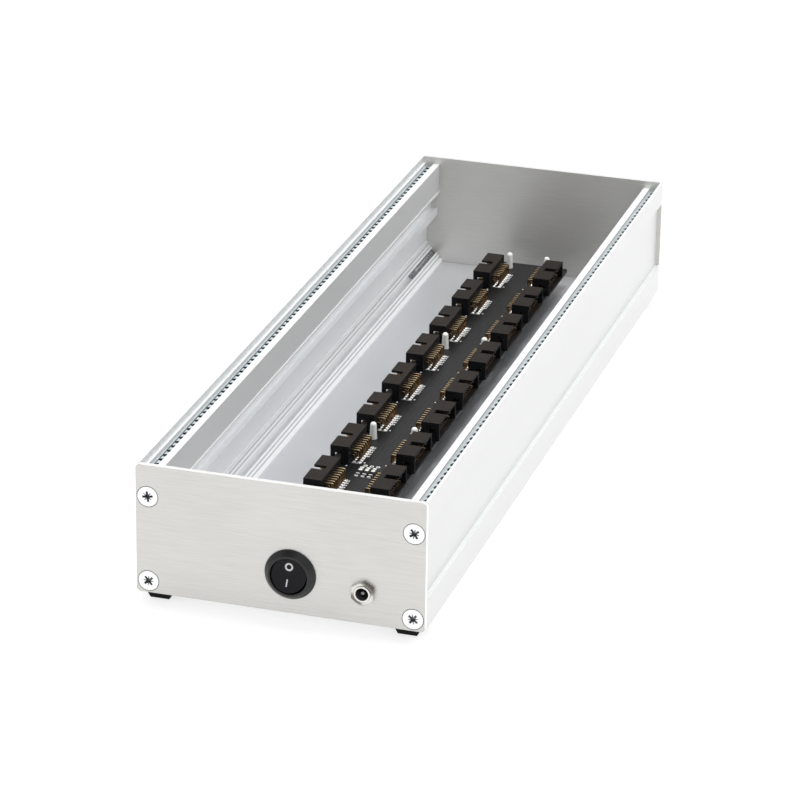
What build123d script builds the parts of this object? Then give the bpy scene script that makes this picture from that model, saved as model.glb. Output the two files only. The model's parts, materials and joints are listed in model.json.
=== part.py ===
from build123d import *

import os
from math import cos, radians, sin, sqrt

# Desktop skiff case for synthesizer modules, 84 pitches long and three units high.
# Two extruded side rails carry threaded strips, a floor slides into their grooves, and two end
# plates are screwed to their ends. A bus board with sixteen box headers stands on the floor.
# X runs across the case, Y from the front end plate to the rear one, Z is up from the feet.

# Module grid and case size
pitch = 5.08
pitch_count = 84
panel_height = 128.5
panel_clearance = 0.25
hole_row_spacing = 122.5
lip_thickness = 1.2
rail_height = 60.5
plate_thickness = 2.5
plate_corner_radius = 1.8
case_width = panel_height + 2 * (panel_clearance + lip_thickness)
rail_length = pitch * pitch_count
case_length = rail_length + 2 * plate_thickness

# Feet
foot_size = 12.7
foot_tip_size = 8.6
foot_height = 5.8
foot_side_inset = 8.9
foot_end_inset = 11.1
foot_shift = 0.8
foot_edge_radius = 0.8

# Side rail, widths measured from its outer face and heights from its top down
seat_depth = 3.75
seat_thickness = 2.05
slot_width = 4.3
head_width = 9.9
head_height = 18.8
bead_height = 1.9
bead_reach = 0.3
channel_height = 8.1
channel_back = 5.4
flange_width = 9.2
flange_thickness = 3.4
upstand_height = 0.8
upstand_width = 0.5
recess_depth = 2.2
recess_top_drop = 11.7
recess_bottom_height = 14.6
web_thickness = 1.2
rail_edge_radius = 0.4

# Threaded strip in the rail's head
strip_width = 6.0
strip_thickness = 3.0
strip_clearance = 0.1
strip_hole_radius = 1.25

# End plate screws and the ports that hold them
screw_side_inset = 5.4
screw_low_height = 5.5
screw_high_drop = 14.8
screw_radius = 2.5
screw_length = 35.0
screw_head_radius = 4.65
screw_head_edge = 0.25
screw_hole_clearance = 0.2
port_clearance = 0.05
countersink_clearance = 0.3
countersink_edge = 0.45
recess_span = 4.9
recess_slot = 1.05
recess_core_radius = 1.15
recess_cut_depth = 1.9
recess_taper = 12
screw_turns = (40, 52, 8, 35)

# Lower corner of the rail: a ribbed face at 45 degrees, slit open over the screw port
corner_face_offset = 3.4
corner_face_up = 5.4
corner_face_down = 6.8
corner_ledge_height = 1.2
corner_slit_width = 3.2
corner_groove_width = 0.6
corner_groove_depth = 0.5
corner_groove_places = (2.9, 4.6)

# Floor plate in the rails' grooves
floor_thickness = 1.2
floor_lift = 0.9
floor_tongue = 2.0
floor_clearance = 0.05
floor_end_clearance = 0.2
lower_lip_reach = 3.1

# Bus board and its supports
board_width = 39.0
board_thickness = 1.6
board_end_margin = 13.6
board_rear_gap = 14.0
board_corner_radius = 1.0
support_height = 8.0
support_base_radius = 4.0
support_base_height = 1.2
support_column_radius = 3.0
support_post_radius = 1.8
support_tip_radius = 1.5
support_post_height = 8.4
support_clearance = 0.1
support_x = 10.1
support_gaps = (0, 2, 5, 8)

# Box headers, two rows of eight right angle pins each
header_rows = 8
header_pitch = 40.0
pin_pitch = 2.54
pins_per_row = 8
pin_size = 0.64
pin_clearance = 0.02
pin_hole_size = 1.0
pin_tip_setback = 1.6
pin_tail = 1.5
pin_bend_radius = 0.7
pin_row_lift = 3.28
inner_tail_x = 7.8
header_end_margin = 5.08
header_depth = 8.9
header_height = 9.1
header_overhang = 0.9
header_wall = 1.1
header_back_wall = 2.2
key_width = 4.2
key_length = 6.2
window_length = 3.2
window_height = 2.4
window_setback = 2.1

# Small parts on the board
indicator_count = 3
indicator_pitch = 3.05
indicator_x = -0.8
indicator_y = 35.6
indicator_width = 2.3
indicator_length = 4.0
indicator_height = 1.4
indicator_lens_radius = 0.8
indicator_lens_depth = 0.3
resistor_y = 30.4
resistor_shift = -0.45
resistor_width = 1.6
resistor_length = 3.2
resistor_height = 0.6
terminal_ways = 4
terminal_pitch = 3.81
terminal_depth = 7.0
terminal_height = 8.0
terminal_edge_gap = 0.6
terminal_entry_radius = 1.2
terminal_entry_depth = 5.0
terminal_entry_lift = 3.0
terminal_screw_radius = 1.5
terminal_screw_depth = 2.0

# Round rocker switch in the front plate, turned a little in its hole
switch_x = 5.0
switch_height = 18.6
switch_turn = 5.0
bezel_radius = 11.6
bezel_lip_radius = 9.4
bezel_thickness = 3.0
bezel_edge = 0.6
bezel_edge_round = 0.4
bezel_lip_round = 0.5
barrel_radius = 9.9
barrel_hole_clearance = 0.2
barrel_length = 15.0
rocker_bore_radius = 8.5
rocker_radius = 7.9
rocker_front = 3.4
rocker_back = 2.2
rocker_dish_radius = 40.0
rocker_travel = 20.0
pivot_depth = 0.4
pivot_pin_radius = 1.0
pivot_pin_reach = 1.2
pivot_clearance = 0.08
well_depth = 4.0
clip_width = 5.0
clip_length = 4.0
clip_reach = 0.8
clip_gap = 0.1
clip_root = 0.5
tab_width = 4.8
tab_thickness = 0.8
tab_length = 8.0
tab_seat = 2.0
tab_spacing = 7.0
tab_hole_radius = 0.8
tab_clearance = 0.03

# Power jack in the front plate
jack_x = 38.0
jack_height = 14.9
jack_barrel_radius = 3.7
jack_bore_radius = 2.9
jack_reach = 2.3
jack_hole_clearance = 0.15
jack_nut_size = 10.0
jack_nut_thickness = 2.0
nut_turn = 30
jack_nut_chamfer = 0.5
jack_nut_face_radius = 4.9
jack_thread_clearance = 0.04
jack_washer_radius = 5.4
jack_washer_thickness = 0.6
jack_flange_radius = 5.5
jack_flange_thickness = 1.6
jack_body_radius = 5.0
jack_body_length = 9.0
jack_plug_depth = 9.0
jack_pin_radius = 1.05
jack_pin_base_radius = 1.3
jack_pin_setback = 1.2
jack_pin_tip_radius = 0.6
jack_pin_tail = 3.0
jack_tag_width = 2.4
jack_tag_thickness = 0.5
jack_tag_length = 5.0
jack_tag_seat = 1.5
jack_tag_spacing = 4.4

# Places that follow from the sizes
base_z = foot_height
top_z = base_z + rail_height
half_width = case_width / 2
rest_tilt = rocker_travel / 2
rocker_reach = rocker_front * cos(radians(rest_tilt)) + rocker_radius * sin(radians(rest_tilt))
front_reach = max(rocker_reach - pivot_depth, bezel_thickness, jack_reach, jack_nut_thickness)
front_y = (front_reach - case_length) / 2
rail_front_y = front_y + plate_thickness
rail_rear_y = rail_front_y + rail_length
rear_y = rail_rear_y + plate_thickness
seat_z = top_z - seat_depth
strip_x = hole_row_spacing / 2
strip_top_z = seat_z - seat_thickness - strip_clearance / 2
screw_x = half_width - screw_side_inset
screw_low_z = base_z + screw_low_height
screw_high_z = top_z - screw_high_drop
floor_bottom_z = base_z + floor_lift
floor_top_z = floor_bottom_z + floor_thickness
board_bottom_z = floor_top_z + support_height
board_top_z = board_bottom_z + board_thickness
header_length = (pins_per_row - 1) * pin_pitch + 2 * header_end_margin
header_run = (header_rows - 1) * header_pitch + header_length
board_length = header_run + 2 * board_end_margin
board_rear_y = rail_rear_y - board_rear_gap
board_front_y = board_rear_y - board_length
header_front_y = board_front_y + board_end_margin
header_outer_x = board_width / 2 + header_overhang
header_gap = header_pitch - header_length

os.makedirs("parts", exist_ok=True)


def section_plane(y):
    """Plane across the case at y, with its own x along X, its y along Z and its normal to the front."""
    return Plane(origin=(0, y, 0), x_dir=(1, 0, 0), z_dir=(0, -1, 0))


def save(piece, name):
    piece.part.label = name
    export_step(piece.part, f"parts/{name}.step")


# Side rails
corner_x = screw_x - corner_face_offset / sqrt(2)
corner_z = screw_low_z + corner_face_offset / sqrt(2)
corner_top_x = corner_x + corner_face_up / sqrt(2)
corner_top_z = corner_z + corner_face_up / sqrt(2)
floor_lip_x = corner_x - corner_face_down / sqrt(2)
floor_lip_z = corner_z - corner_face_down / sqrt(2)
floor_groove_x = floor_lip_x + floor_tongue + floor_end_clearance
web_inner_x = half_width - recess_depth - web_thickness
head_inner_x = half_width - head_width
head_bottom_z = top_z - head_height
bead_bottom_z = head_bottom_z - bead_height
channel_back_x = half_width - channel_back
channel_bottom_z = bead_bottom_z - channel_height
flange_x = half_width - flange_width
flange_bottom_z = channel_bottom_z - flange_thickness
corner_face = Plane(
    origin=(screw_x, rail_rear_y, screw_low_z),
    x_dir=(1, 0, 1),
    z_dir=(0, -1, 0),
)

with BuildPart() as right_side_rail:
    with BuildSketch(section_plane(rail_rear_y)):
        with BuildLine():
            Polyline(
                (half_width, base_z),
                (half_width, base_z + recess_bottom_height),
                (half_width - recess_depth, base_z + recess_bottom_height),
                (half_width - recess_depth, top_z - recess_top_drop),
                (half_width, top_z - recess_top_drop),
                (half_width, top_z),
                (half_width - lip_thickness, top_z),
                (half_width - lip_thickness, seat_z),
                (head_inner_x, seat_z),
                (head_inner_x, head_bottom_z),
                (head_inner_x - bead_reach, head_bottom_z),
                (head_inner_x + bead_reach, bead_bottom_z),
                (channel_back_x, bead_bottom_z),
                (channel_back_x, channel_bottom_z),
                (flange_x + upstand_width, channel_bottom_z),
                (flange_x + upstand_width, channel_bottom_z + upstand_height),
                (flange_x, channel_bottom_z + upstand_height),
                (flange_x, flange_bottom_z),
                (web_inner_x, flange_bottom_z),
                (web_inner_x, corner_top_z + corner_ledge_height),
                (corner_top_x, corner_top_z + corner_ledge_height),
                (corner_top_x, corner_top_z),
                (floor_lip_x, floor_lip_z),
                (floor_lip_x, floor_top_z + floor_clearance),
                (floor_groove_x, floor_top_z + floor_clearance),
                (floor_groove_x, floor_bottom_z - floor_clearance),
                (floor_lip_x - lower_lip_reach, floor_bottom_z - floor_clearance),
                (floor_lip_x - lower_lip_reach, base_z),
                close=True,
            )
        make_face()
    extrude(amount=rail_length)
    # Slot for the module screws over the wider channel that holds the strip
    with BuildSketch(section_plane(rail_rear_y)):
        with Locations((strip_x, seat_z - seat_thickness / 2)):
            Rectangle(slot_width, seat_thickness)
        with Locations((strip_x, strip_top_z - strip_thickness / 2)):
            Rectangle(strip_width + strip_clearance, strip_thickness + strip_clearance)
    extrude(amount=rail_length, mode=Mode.SUBTRACT)
    # Screw ports, the lower one open along its slit, and the grooves beside the slit
    with BuildSketch(section_plane(rail_rear_y)):
        with Locations((screw_x, screw_low_z), (screw_x, screw_high_z)):
            Circle(screw_radius + port_clearance)
    extrude(amount=rail_length, mode=Mode.SUBTRACT)
    with BuildSketch(corner_face):
        with Locations((0, corner_face_offset / 2)):
            Rectangle(corner_slit_width, corner_face_offset)
        for place in corner_groove_places:
            with Locations((place, corner_face_offset), (-place, corner_face_offset)):
                Rectangle(corner_groove_width, 2 * corner_groove_depth)
    extrude(amount=rail_length, mode=Mode.SUBTRACT)
    outer_edges = right_side_rail.edges().filter_by(Axis.Y).group_by(Axis.X)[-1]
    fillet([outer_edges.sort_by(Axis.Z)[0], outer_edges.sort_by(Axis.Z)[-1]], rail_edge_radius)
save(right_side_rail, "right_side_rail")

with BuildPart() as left_side_rail:
    mirror(right_side_rail.part, about=Plane.YZ)
save(left_side_rail, "left_side_rail")

# Threaded strips
rail_middle_y = (rail_front_y + rail_rear_y) / 2
for side, side_name in ((-1, "left"), (1, "right")):
    with BuildPart() as strip:
        with BuildSketch(Plane.XY.offset(strip_top_z)):
            with Locations((side * strip_x, rail_middle_y)):
                Rectangle(strip_width, rail_length)
                with GridLocations(pitch, pitch, 1, pitch_count):
                    Circle(strip_hole_radius, mode=Mode.SUBTRACT)
        extrude(amount=-strip_thickness)
    save(strip, f"{side_name}_threaded_strip")

# Floor plate
floor_width = 2 * (floor_lip_x + floor_tongue)
floor_length = rail_length - 2 * floor_end_clearance
with BuildPart() as floor_plate:
    with BuildSketch(Plane.XY.offset(floor_bottom_z)):
        with Locations((0, rail_middle_y)):
            Rectangle(floor_width, floor_length)
    extrude(amount=floor_thickness)
save(floor_plate, "floor_plate")


# End plates, countersunk for the screws on their outer face
screw_places = [(x, z) for z in (screw_low_z, screw_high_z) for x in (-screw_x, screw_x)]
sink_radius = screw_head_radius + countersink_clearance
sink_depth = screw_head_radius - screw_radius + screw_head_edge
hole_radius = screw_radius + screw_hole_clearance


def plate_blank(outer_plane):
    """An end plate with its outer face on the given plane and its body behind that face."""
    with BuildPart() as blank:
        with BuildSketch(outer_plane):
            with Locations((0, base_z + rail_height / 2)):
                RectangleRounded(case_width, rail_height, plate_corner_radius)
        extrude(amount=-plate_thickness)
        with BuildSketch(outer_plane):
            with Locations(*screw_places):
                Circle(hole_radius)
        extrude(amount=-plate_thickness, mode=Mode.SUBTRACT)
        for x, z in screw_places:
            with BuildSketch(outer_plane):
                with Locations((x, z)):
                    Circle(sink_radius)
            with BuildSketch(outer_plane.offset(-countersink_edge)):
                with Locations((x, z)):
                    Circle(sink_radius)
            loft(mode=Mode.SUBTRACT)
            with BuildSketch(outer_plane.offset(-countersink_edge)):
                with Locations((x, z)):
                    Circle(sink_radius)
            with BuildSketch(outer_plane.offset(-sink_depth)):
                with Locations((x, z)):
                    Circle(hole_radius)
            loft(mode=Mode.SUBTRACT)
    return blank


front_plane = section_plane(front_y)
rear_plane = Plane(origin=(0, rear_y, 0), x_dir=(-1, 0, 0), z_dir=(0, 1, 0))

with BuildPart() as front_end_plate:
    add(plate_blank(front_plane).part)
    with BuildSketch(front_plane):
        with Locations((switch_x, base_z + switch_height)):
            Circle(barrel_radius + barrel_hole_clearance)
        with Locations((jack_x, base_z + jack_height)):
            Circle(jack_barrel_radius + jack_hole_clearance)
    extrude(amount=-plate_thickness, mode=Mode.SUBTRACT)
save(front_end_plate, "front_end_plate")

with BuildPart() as rear_end_plate:
    add(plate_blank(rear_plane).part)
save(rear_end_plate, "rear_end_plate")


# Countersunk screws with a cross recess, four in each plate
def plate_screws(outer_plane):
    with BuildPart() as screws:
        for (x, z), turn in zip(screw_places, screw_turns):
            with BuildSketch(outer_plane):
                with Locations((x, z)):
                    Circle(screw_radius)
            extrude(amount=-screw_length)
            with BuildSketch(outer_plane):
                with Locations((x, z)):
                    Circle(screw_head_radius)
            extrude(amount=-screw_head_edge)
            with BuildSketch(outer_plane.offset(-screw_head_edge)):
                with Locations((x, z)):
                    Circle(screw_head_radius)
            with BuildSketch(outer_plane.offset(-sink_depth)):
                with Locations((x, z)):
                    Circle(screw_radius)
            loft()
            with BuildSketch(outer_plane):
                with Locations(Location((x, z), turn)):
                    Rectangle(recess_span, recess_slot)
                    Rectangle(recess_slot, recess_span)
                    Circle(recess_core_radius)
            extrude(amount=-recess_cut_depth, taper=recess_taper, mode=Mode.SUBTRACT)
    return screws


save(plate_screws(front_plane), "front_plate_screws")
save(plate_screws(rear_plane), "rear_plate_screws")

# Rubber feet under the rails
foot_x = half_width - foot_side_inset
foot_ends = ((front_y + foot_end_inset, "front"), (rear_y - foot_end_inset, "rear"))
for y, end_name in foot_ends:
    for side, side_name in ((-1, "left"), (1, "right")):
        with BuildPart() as foot:
            with BuildSketch(Plane.XY):
                with Locations((side * foot_x - foot_shift, y)):
                    Rectangle(foot_tip_size, foot_tip_size)
            with BuildSketch(Plane.XY.offset(foot_height)):
                with Locations((side * foot_x - foot_shift, y)):
                    Rectangle(foot_size, foot_size)
            loft()
            fillet(foot.edges().group_by(Axis.Z)[0], foot_edge_radius)
        save(foot, f"{end_name}_{side_name}_foot")

# Bus board with holes for the supports and for every header pin
board_middle_y = (board_front_y + board_rear_y) / 2
support_ys = [header_front_y - header_gap / 2 + gap * header_pitch for gap in support_gaps]
pin_rows = ((inner_tail_x, pin_row_lift + pin_pitch), (inner_tail_x + pin_pitch, pin_row_lift))
header_ys = [header_front_y + header_length / 2 + row * header_pitch for row in range(header_rows)]

with BuildPart() as bus_board:
    with BuildSketch(Plane.XY.offset(board_bottom_z)):
        with Locations((0, board_middle_y)):
            RectangleRounded(board_width, board_length, board_corner_radius)
        with Locations(*[(x, y) for x in (-support_x, support_x) for y in support_ys]):
            Circle(support_post_radius + support_clearance, mode=Mode.SUBTRACT)
        for tail_x, lift in pin_rows:
            with Locations(*[(x, y) for x in (-tail_x, tail_x) for y in header_ys]):
                with GridLocations(pin_pitch, pin_pitch, 1, pins_per_row):
                    Rectangle(pin_hole_size, pin_hole_size, mode=Mode.SUBTRACT)
    extrude(amount=board_thickness)
save(bus_board, "bus_board")

# Board supports: a foot on the floor, a column under the board and a round tipped post above it
post_top_z = board_top_z + support_post_height
with BuildPart() as board_supports:
    for y in support_ys:
        for x in (-support_x, support_x):
            with BuildSketch(Plane(origin=(x, y, 0), x_dir=(1, 0, 0), z_dir=(0, -1, 0))):
                with BuildLine():
                    Polyline(
                        (0, post_top_z),
                        (0, floor_top_z),
                        (support_base_radius, floor_top_z),
                        (support_base_radius, floor_top_z + support_base_height),
                        (support_column_radius, floor_top_z + support_base_height),
                        (support_column_radius, board_bottom_z),
                        (support_post_radius, board_bottom_z),
                        (support_post_radius, board_top_z),
                        (support_tip_radius, post_top_z - support_tip_radius),
                    )
                    RadiusArc(
                        (support_tip_radius, post_top_z - support_tip_radius),
                        (0, post_top_z),
                        -support_tip_radius,
                    )
                make_face()
            revolve(axis=Axis((x, y, 0), (0, 0, 1)))
save(board_supports, "board_supports")


# Box header for the right side, centred on y = 0: a moulded shroud open to the outside
header_middle_z = board_top_z + header_height / 2
socket_depth = header_depth - header_back_wall
mouth_plane = Plane(origin=(header_outer_x, 0, header_middle_z), x_dir=(0, 1, 0), z_dir=(1, 0, 0))
pin_middle_z = board_top_z + pin_row_lift + pin_pitch / 2
window_x = header_outer_x - window_setback - window_length / 2
with BuildPart() as header_shroud:
    with BuildSketch(mouth_plane):
        Rectangle(header_length, header_height)
    extrude(amount=-header_depth)
    with BuildSketch(mouth_plane):
        Rectangle(header_length - 2 * header_wall, header_height - 2 * header_wall)
    extrude(amount=-socket_depth, mode=Mode.SUBTRACT)
    # Key slot in the top wall
    with BuildSketch(Plane.XY.offset(board_top_z + header_height)):
        with Locations((header_outer_x - key_length / 2, 0)):
            Rectangle(key_length, key_width)
    extrude(amount=-2 * header_wall, mode=Mode.SUBTRACT)
    # Window in each end wall
    with BuildSketch(section_plane(header_length / 2)):
        with Locations((window_x, header_middle_z)):
            Rectangle(window_length, window_height)
    extrude(amount=header_length, mode=Mode.SUBTRACT)
    # Holes for the pins through the back wall
    with BuildSketch(mouth_plane.offset(-socket_depth)):
        with Locations((0, pin_middle_z - header_middle_z)):
            with GridLocations(pin_pitch, pin_pitch, pins_per_row, 2):
                Rectangle(pin_size + 2 * pin_clearance, pin_size + 2 * pin_clearance)
    extrude(amount=-header_back_wall, mode=Mode.SUBTRACT)

# Its pins, bent down through the board
pin_tip_x = header_outer_x - pin_tip_setback
pin_tail_z = board_bottom_z - pin_tail
pin_half = pin_size / 2
pin_ys = [(place - (pins_per_row - 1) / 2) * pin_pitch for place in range(pins_per_row)]
with BuildPart() as header_pins:
    with BuildSketch(*[section_plane(y + pin_half) for y in pin_ys]):
        for tail_x, lift in pin_rows:
            pin_z = board_top_z + lift
            with BuildLine():
                FilletPolyline(
                    (pin_tip_x, pin_z + pin_half),
                    (tail_x - pin_half, pin_z + pin_half),
                    (tail_x - pin_half, pin_tail_z),
                    radius=pin_bend_radius,
                )
                Polyline(
                    (tail_x - pin_half, pin_tail_z),
                    (tail_x + pin_half, pin_tail_z),
                    (tail_x + pin_half, pin_z - pin_half),
                    (pin_tip_x, pin_z - pin_half),
                    (pin_tip_x, pin_z + pin_half),
                )
            make_face()
    extrude(amount=pin_size)

for number, y in enumerate(header_ys, start=1):
    for master, name in ((header_shroud, "header_shroud"), (header_pins, "header_pins")):
        with BuildPart() as right_copy:
            with Locations((0, y, 0)):
                add(master.part)
        save(right_copy, f"right_{name}_{number}")
        with BuildPart() as left_copy:
            mirror(right_copy.part, about=Plane.YZ)
        save(left_copy, f"left_{name}_{number}")

# Indicators, their resistors and the input terminal at the front end of the board
indicator_xs = [indicator_x + (place - 1) * indicator_pitch for place in range(indicator_count)]
with BuildPart() as indicator_lamps:
    with BuildSketch(Plane.XY.offset(board_top_z)):
        with Locations(*[(x, header_front_y + indicator_y) for x in indicator_xs]):
            Rectangle(indicator_width, indicator_length)
    extrude(amount=indicator_height)
    with BuildSketch(Plane.XY.offset(board_top_z + indicator_height)):
        with Locations(*[(x, header_front_y + indicator_y) for x in indicator_xs]):
            Circle(indicator_lens_radius)
    extrude(amount=-indicator_lens_depth, mode=Mode.SUBTRACT)
save(indicator_lamps, "indicator_lamps")

with BuildPart() as indicator_resistors:
    with BuildSketch(Plane.XY.offset(board_top_z)):
        with Locations(*[(x + resistor_shift, header_front_y + resistor_y) for x in indicator_xs]):
            Rectangle(resistor_width, resistor_length)
    extrude(amount=resistor_height)
save(indicator_resistors, "indicator_resistors")

terminal_front_y = board_front_y + terminal_edge_gap
terminal_middle_y = terminal_front_y + terminal_depth / 2
with BuildPart() as input_terminal:
    with BuildSketch(Plane.XY.offset(board_top_z)):
        with Locations((0, terminal_middle_y)):
            Rectangle(terminal_ways * terminal_pitch, terminal_depth)
    extrude(amount=terminal_height)
    with BuildSketch(section_plane(terminal_front_y)):
        with Locations((0, board_top_z + terminal_entry_lift)):
            with GridLocations(terminal_pitch, terminal_pitch, terminal_ways, 1):
                Circle(terminal_entry_radius)
    extrude(amount=-terminal_entry_depth, mode=Mode.SUBTRACT)
    with BuildSketch(Plane.XY.offset(board_top_z + terminal_height)):
        with Locations((0, terminal_middle_y)):
            with GridLocations(terminal_pitch, terminal_pitch, terminal_ways, 1):
                Circle(terminal_screw_radius)
    extrude(amount=-terminal_screw_depth, mode=Mode.SUBTRACT)
save(input_terminal, "input_terminal")

# Switch housing: bezel, barrel with two snap clips, a well for the rocker and slots for the tabs
switch_z = base_z + switch_height
turn_x = cos(radians(switch_turn))
turn_z = sin(radians(switch_turn))
switch_right = Vector(turn_x, 0, -turn_z)
switch_up = Vector(turn_z, 0, turn_x)
switch_front = Plane(origin=(switch_x, front_y, switch_z), x_dir=switch_right, z_dir=(0, -1, 0))
pivot = (switch_x, front_y + pivot_depth, switch_z)
pivot_plane = Plane(origin=pivot, x_dir=(0, 1, 0), z_dir=switch_right)
bezel_plane = Plane(origin=(switch_x, front_y, switch_z), x_dir=(1, 0, 0), z_dir=(0, 0, -1))
tab_plane = switch_front.offset(-barrel_length)
clip_top = -(plate_thickness + clip_gap)
with BuildPart() as switch_housing:
    with BuildSketch(bezel_plane):
        with BuildLine():
            Polyline(
                (0, 0),
                (bezel_radius, 0),
                (bezel_radius, bezel_edge),
                (bezel_lip_radius, bezel_thickness),
                (0, bezel_thickness),
                close=True,
            )
        make_face()
    revolve(axis=Axis((switch_x, front_y, switch_z), (0, 1, 0)))
    fillet(switch_housing.edges().group_by(Axis.Y)[0], bezel_lip_round)
    bezel_rim = switch_housing.edges().filter_by(GeomType.CIRCLE).sort_by(SortBy.RADIUS)[-2:]
    fillet(bezel_rim.sort_by(Axis.Y)[0], bezel_edge_round)
    with BuildSketch(switch_front):
        Circle(barrel_radius)
    extrude(amount=-barrel_length)
    with BuildSketch(switch_front.offset(bezel_thickness)):
        Circle(rocker_bore_radius)
    extrude(amount=-(bezel_thickness + pivot_depth + well_depth), mode=Mode.SUBTRACT)
    with BuildSketch(pivot_plane):
        Circle(pivot_pin_radius + pivot_clearance)
    extrude(amount=rocker_radius + pivot_pin_reach + pivot_clearance, both=True, mode=Mode.SUBTRACT)
    with BuildSketch(tab_plane):
        with Locations((0, tab_spacing / 2), (0, -tab_spacing / 2)):
            Rectangle(tab_width + 2 * tab_clearance, tab_thickness + 2 * tab_clearance)
    extrude(amount=tab_seat, mode=Mode.SUBTRACT)
    # A snap clip on each side, as wedges across the switch
    with BuildSketch(Plane(origin=switch_front.origin, x_dir=switch_right, z_dir=switch_up)):
        for clip_side in (-1, 1):
            with BuildLine():
                Polyline(
                    (clip_side * (barrel_radius - clip_root), -clip_top),
                    (clip_side * (barrel_radius + clip_reach), -clip_top),
                    (clip_side * (barrel_radius - clip_root), clip_length - clip_top),
                    close=True,
                )
            make_face()
    extrude(amount=clip_width / 2, both=True)
save(switch_housing, "switch_housing")

tab_hole_plane = Plane(origin=tab_plane.origin, x_dir=switch_right, z_dir=switch_up)
with BuildPart() as switch_tabs:
    with BuildSketch(tab_plane.offset(tab_seat)):
        with Locations((0, tab_spacing / 2), (0, -tab_spacing / 2)):
            Rectangle(tab_width, tab_thickness)
    extrude(amount=-(tab_seat + tab_length))
    with BuildSketch(tab_hole_plane):
        with Locations((0, tab_length - 2 * tab_hole_radius)):
            Circle(tab_hole_radius)
    extrude(amount=tab_spacing, both=True, mode=Mode.SUBTRACT)
save(switch_tabs, "switch_tabs")

# Rocker, at rest with its upper half pressed in, on two pivot pins of its own
rocker_face = Plane(origin=pivot, x_dir=switch_right, z_dir=(0, -1, 0)).rotated((-rest_tilt, 0, 0))
dish_height = rocker_front - rocker_radius**2 / (2 * rocker_dish_radius) + rocker_dish_radius
dish_plane = Plane(origin=rocker_face.from_local_coords((0, 0, dish_height)), x_dir=(0, 1, 0), z_dir=switch_right)
with BuildPart() as rocker:
    with BuildSketch(rocker_face.offset(-rocker_back)):
        Circle(rocker_radius)
    extrude(amount=rocker_back + rocker_front)
    with BuildSketch(dish_plane):
        Circle(rocker_dish_radius)
    extrude(amount=2 * rocker_radius, both=True, mode=Mode.SUBTRACT)
    with BuildSketch(pivot_plane):
        Circle(pivot_pin_radius)
    extrude(amount=rocker_radius + pivot_pin_reach, both=True)
save(rocker, "rocker")

# Power jack: a threaded barrel clamped by its nut, with a washer behind the plate
jack_z = base_z + jack_height
jack_place = (jack_x, jack_z)
inner_plane = section_plane(rail_front_y)
flange_front_y = rail_front_y + jack_washer_thickness
flange_rear_y = flange_front_y + jack_flange_thickness
jack_rear_y = flange_rear_y + jack_body_length
with BuildPart() as jack_barrel:
    with BuildSketch(section_plane(front_y - jack_reach)):
        with Locations(jack_place):
            Circle(jack_barrel_radius)
    extrude(amount=-(flange_rear_y - front_y + jack_reach))
    with BuildSketch(section_plane(flange_front_y)):
        with Locations(jack_place):
            Circle(jack_flange_radius)
    extrude(amount=-jack_flange_thickness)
    with BuildSketch(section_plane(front_y - jack_reach)):
        with Locations(jack_place):
            Circle(jack_bore_radius)
    extrude(amount=-(flange_rear_y - front_y + jack_reach), mode=Mode.SUBTRACT)
save(jack_barrel, "jack_barrel")

jack_axis_plane = Plane(origin=(jack_x, front_y, jack_z), x_dir=(1, 0, 0), z_dir=(0, 0, -1))
nut_corner_radius = jack_nut_size / sqrt(3)
with BuildPart() as jack_nut:
    with BuildSketch(front_plane):
        with Locations(jack_place):
            RegularPolygon(jack_nut_size / 2, 6, major_radius=False, rotation=nut_turn)
            Circle(jack_barrel_radius + jack_thread_clearance, mode=Mode.SUBTRACT)
    extrude(amount=jack_nut_thickness)
    # Chamfer turned on the front of the hexagon
    with BuildSketch(jack_axis_plane):
        with BuildLine():
            Polyline(
                (0, 0),
                (nut_corner_radius, 0),
                (nut_corner_radius, jack_nut_thickness - jack_nut_chamfer),
                (jack_nut_face_radius, jack_nut_thickness),
                (0, jack_nut_thickness),
                close=True,
            )
        make_face()
    revolve(axis=Axis((jack_x, front_y, jack_z), (0, 1, 0)), mode=Mode.INTERSECT)
save(jack_nut, "jack_nut")

with BuildPart() as jack_washer:
    with BuildSketch(inner_plane):
        with Locations(jack_place):
            Circle(jack_washer_radius)
            Circle(jack_barrel_radius + jack_hole_clearance, mode=Mode.SUBTRACT)
    extrude(amount=-jack_washer_thickness)
save(jack_washer, "jack_washer")

plug_end_y = front_y - jack_reach + jack_plug_depth
jack_rear_plane = Plane(origin=(jack_x, jack_rear_y, jack_z), x_dir=(-1, 0, 0), z_dir=(0, 1, 0))
tag_places = ((-jack_tag_spacing / 2, 0), (jack_tag_spacing / 2, 0))
with BuildPart() as jack_body:
    with BuildSketch(section_plane(flange_rear_y)):
        with Locations(jack_place):
            Circle(jack_body_radius)
    extrude(amount=-jack_body_length)
    with BuildSketch(section_plane(flange_rear_y)):
        with Locations(jack_place):
            Circle(jack_bore_radius)
    extrude(amount=-(plug_end_y - flange_rear_y), mode=Mode.SUBTRACT)
    with BuildSketch(jack_rear_plane):
        Circle(jack_pin_base_radius)
    extrude(amount=-(jack_rear_y - plug_end_y), mode=Mode.SUBTRACT)
    with BuildSketch(jack_rear_plane):
        with Locations(*tag_places):
            Rectangle(jack_tag_thickness, jack_tag_width)
    extrude(amount=-jack_tag_seat, mode=Mode.SUBTRACT)
save(jack_body, "jack_body")

pin_front_y = front_y - jack_reach + jack_pin_setback
with BuildPart() as jack_centre_pin:
    with BuildSketch(section_plane(pin_front_y)):
        with Locations(jack_place):
            Circle(jack_pin_radius)
    extrude(amount=-(plug_end_y - pin_front_y))
    fillet(jack_centre_pin.edges().group_by(Axis.Y)[0], jack_pin_tip_radius)
    with BuildSketch(jack_rear_plane.offset(jack_pin_tail)):
        Circle(jack_pin_base_radius)
    extrude(amount=-(jack_rear_y + jack_pin_tail - plug_end_y))
save(jack_centre_pin, "jack_centre_pin")

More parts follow.
